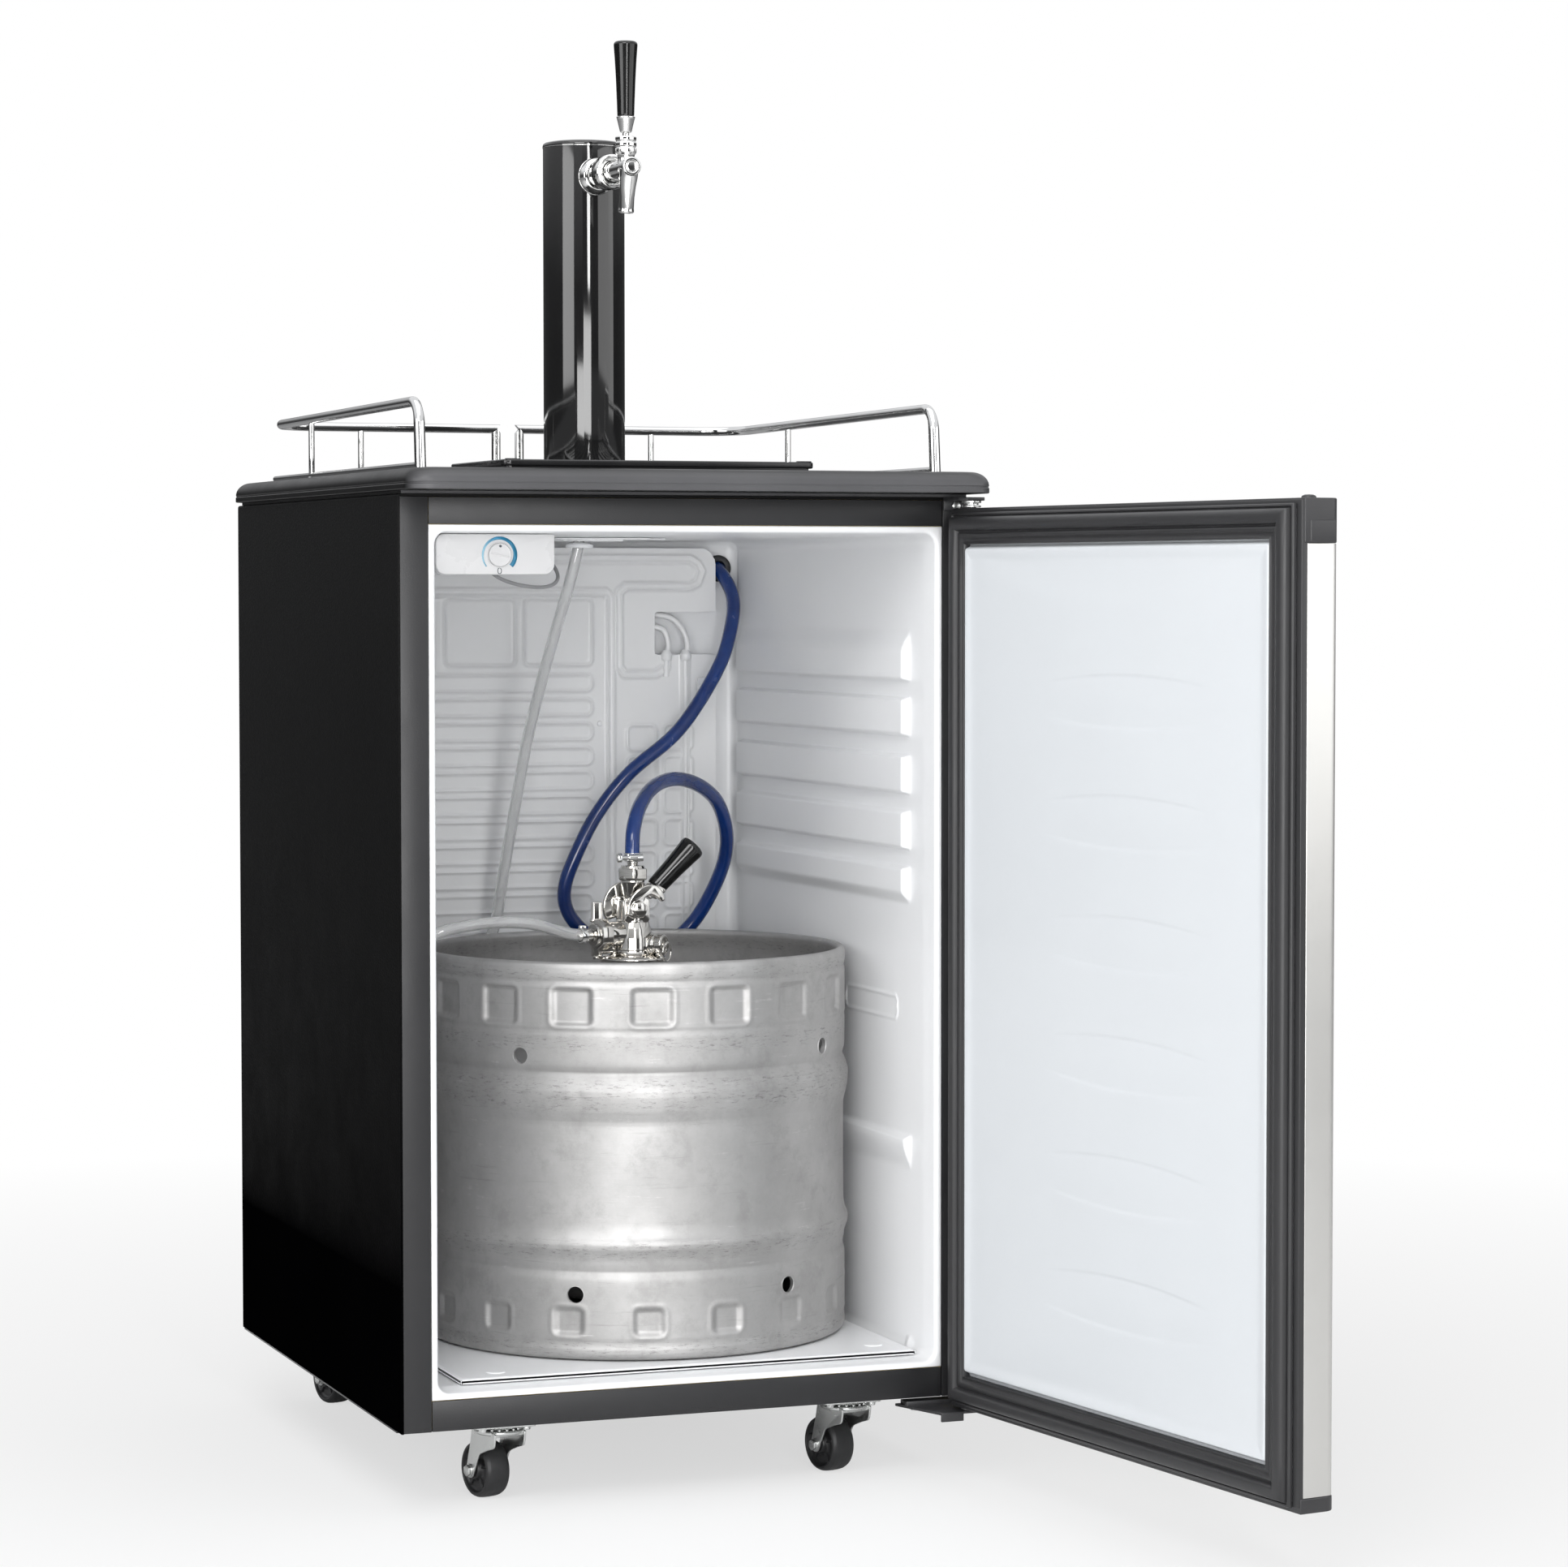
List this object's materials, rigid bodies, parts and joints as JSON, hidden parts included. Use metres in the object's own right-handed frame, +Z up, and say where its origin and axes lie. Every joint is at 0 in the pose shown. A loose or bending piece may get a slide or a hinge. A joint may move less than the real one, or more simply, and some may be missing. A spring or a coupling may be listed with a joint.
{
  "type": "kegerator",
  "caption": "Refrigerated cabinet on casters for serving draft drinks, with an open hinged door, a keg and coupler inside, a single tap tower, a drip tray and guard rails on top.",
  "frame": {"origin": "on the floor, at the middle of the bounding box of the whole object with its door open", "axes": "+Z up, +X to the right seen from the front, -Y out of the front towards the open side of the cabinet; the door hangs on the +X side and rests open"},
  "size_m": [0.622, 1.1316, 1.2989],
  "materials": {
    "black_paint": "satin black powder coat",
    "charcoal_trim": "satin charcoal",
    "white_liner": "semi-gloss white",
    "roll_bond_plate": "pale coated aluminium",
    "foam": "rigid foam, hidden",
    "zinc_steel": "zinc plated",
    "chrome": "polished",
    "silver_skin": "silver finish",
    "keg_steel": "satin stainless",
    "black_plastic": "satin",
    "gloss_black": "gloss black",
    "gasket_rubber": "satin",
    "blue_hose": "glossy blue",
    "clear_hose": "clear, slightly milky"
  },
  "bodies": {
    "cabinet": {"cabinet_shell": "black_paint", "front_top_rail": "charcoal_trim", "front_bottom_rail": "charcoal_trim", "inner_liner": "white_liner", "insulation_foam": "foam", "rear_panel": "zinc_steel", "base_pan": "black_paint", "worktop_cover": "charcoal_trim", "evaporator_plate": "roll_bond_plate", "thermostat_housing": "white_liner", "keg_floor_plate": "white_liner", "compressor": "black_paint", "condenser_coil": "black_paint", "power_cord": "black_plastic", "keg_shell": "keg_steel", "keg_neck": "keg_steel", "coupler_body": "chrome", "relief_valve": "chrome", "gas_line": "blue_hose", "beer_line": "clear_hose", "hose_grommet": "gasket_rubber", "tower_column": "gloss_black", "tower_cap": "gloss_black", "tower_flange": "gloss_black", "faucet_shank": "chrome", "coupling_nut": "chrome", "faucet_body": "chrome", "guard_rail_left": "chrome", "guard_rail_right": "chrome", "hinge_bracket_top": "black_paint", "hinge_bracket_bottom": "black_paint", "caster_plate_front_left": "zinc_steel", "caster_plate_front_right": "zinc_steel", "caster_plate_rear_left": "zinc_steel", "caster_plate_rear_right": "zinc_steel"},
    "door": {"door_skin": "silver_skin", "door_cap_top": "charcoal_trim", "door_cap_bottom": "charcoal_trim", "door_foam": "foam", "door_liner": "white_liner", "door_gasket": "gasket_rubber"},
    "thermostat_dial": {"thermostat_knob": "white_liner"},
    "tap_lever": {"faucet_lever": "chrome", "tap_handle": "black_plastic"},
    "tap_plunger": {"faucet_plunger": "zinc_steel"},
    "coupler_lever": {"coupler_handle": "chrome", "coupler_grip": "black_plastic"},
    "coupler_stem": {"coupler_probe": "chrome", "coupler_nut": "chrome"},
    "tray": {"drip_tray": "black_plastic"},
    "grate": {"drip_grate": "black_plastic"},
    "swivel_front_left": {"caster_fork_front_left": "zinc_steel"},
    "roll_front_left": {"caster_wheel_front_left": "gasket_rubber"},
    "swivel_front_right": {"caster_fork_front_right": "zinc_steel"},
    "roll_front_right": {"caster_wheel_front_right": "gasket_rubber"},
    "swivel_rear_left": {"caster_fork_rear_left": "zinc_steel"},
    "roll_rear_left": {"caster_wheel_rear_left": "gasket_rubber"},
    "swivel_rear_right": {"caster_fork_rear_right": "zinc_steel"},
    "roll_rear_right": {"caster_wheel_rear_right": "gasket_rubber"}
  },
  "joints": [
    {"name": "door_hinge", "type": "hinge", "parent": "cabinet", "child": "door", "pos_m": [0.21231, -0.05085, 0.4715], "axis": [0, 0, 1], "range_deg": [-98.7, 30]},
    {"name": "thermostat_turn", "type": "hinge", "parent": "cabinet", "child": "thermostat_dial", "pos_m": [-0.20899, 0.00176, 0.8315], "axis": [0, -1, 0], "range_deg": [-135, 135]},
    {"name": "tap_pull", "type": "hinge", "parent": "cabinet", "child": "tap_lever", "pos_m": [-0.04199, 0.15476, 1.2045], "axis": [1, 0, 0], "range_deg": [0, 22]},
    {"name": "tap_plunger_slide", "type": "slide", "parent": "cabinet", "child": "tap_plunger", "axis": [0, 1, 0], "range_m": [0, 0.006]},
    {"name": "coupler_pull", "type": "hinge", "parent": "cabinet", "child": "coupler_lever", "pos_m": [-0.01599, 0.21776, 0.5055], "axis": [0, 1, 0], "range_deg": [0, 45]},
    {"name": "coupler_stem_slide", "type": "slide", "parent": "cabinet", "child": "coupler_stem", "axis": [0, 0, 1], "range_m": [-0.008, 0.0002]},
    {"name": "tray_lift", "type": "slide", "parent": "cabinet", "child": "tray", "axis": [0, 0, 1], "range_m": [0, 0.12]},
    {"name": "grate_lift", "type": "slide", "parent": "tray", "child": "grate", "axis": [0, 0, 1], "range_m": [0, 0.06]},
    {"name": "swivel_turn_front_left", "type": "hinge", "parent": "cabinet", "child": "swivel_front_left", "pos_m": [-0.20499, 0.02576, 0.0655], "axis": [0, 0, 1], "continuous": true},
    {"name": "roll_turn_front_left", "type": "hinge", "parent": "swivel_front_left", "child": "roll_front_left", "pos_m": [-0.2108, 0.04904, 0.025], "axis": [0.9703, 0.2419, 0], "continuous": true},
    {"name": "swivel_turn_front_right", "type": "hinge", "parent": "cabinet", "child": "swivel_front_right", "pos_m": [0.12101, 0.02576, 0.0655], "axis": [0, 0, 1], "continuous": true},
    {"name": "roll_turn_front_right", "type": "hinge", "parent": "swivel_front_right", "child": "roll_front_right", "pos_m": [0.1152, 0.04904, 0.025], "axis": [0.9703, 0.2419, 0], "continuous": true},
    {"name": "swivel_turn_rear_left", "type": "hinge", "parent": "cabinet", "child": "swivel_rear_left", "pos_m": [-0.21799, 0.50375, 0.0655], "axis": [0, 0, 1], "continuous": true},
    {"name": "roll_turn_rear_left", "type": "hinge", "parent": "swivel_rear_left", "child": "roll_rear_left", "pos_m": [-0.2238, 0.52704, 0.025], "axis": [0.9703, 0.2419, 0], "continuous": true},
    {"name": "swivel_turn_rear_right", "type": "hinge", "parent": "cabinet", "child": "swivel_rear_right", "pos_m": [0.13401, 0.50375, 0.0655], "axis": [0, 0, 1], "continuous": true},
    {"name": "roll_turn_rear_right", "type": "hinge", "parent": "swivel_rear_right", "child": "roll_rear_right", "pos_m": [0.1282, 0.52704, 0.025], "axis": [0.9703, 0.2419, 0], "continuous": true}
  ],
  "couplings": [
    {"joint": "tap_plunger_slide", "follows": "tap_pull", "m_per_rad": 0.015},
    {"joint": "coupler_stem_slide", "follows": "coupler_pull", "m_per_rad": -0.01}
  ]
}
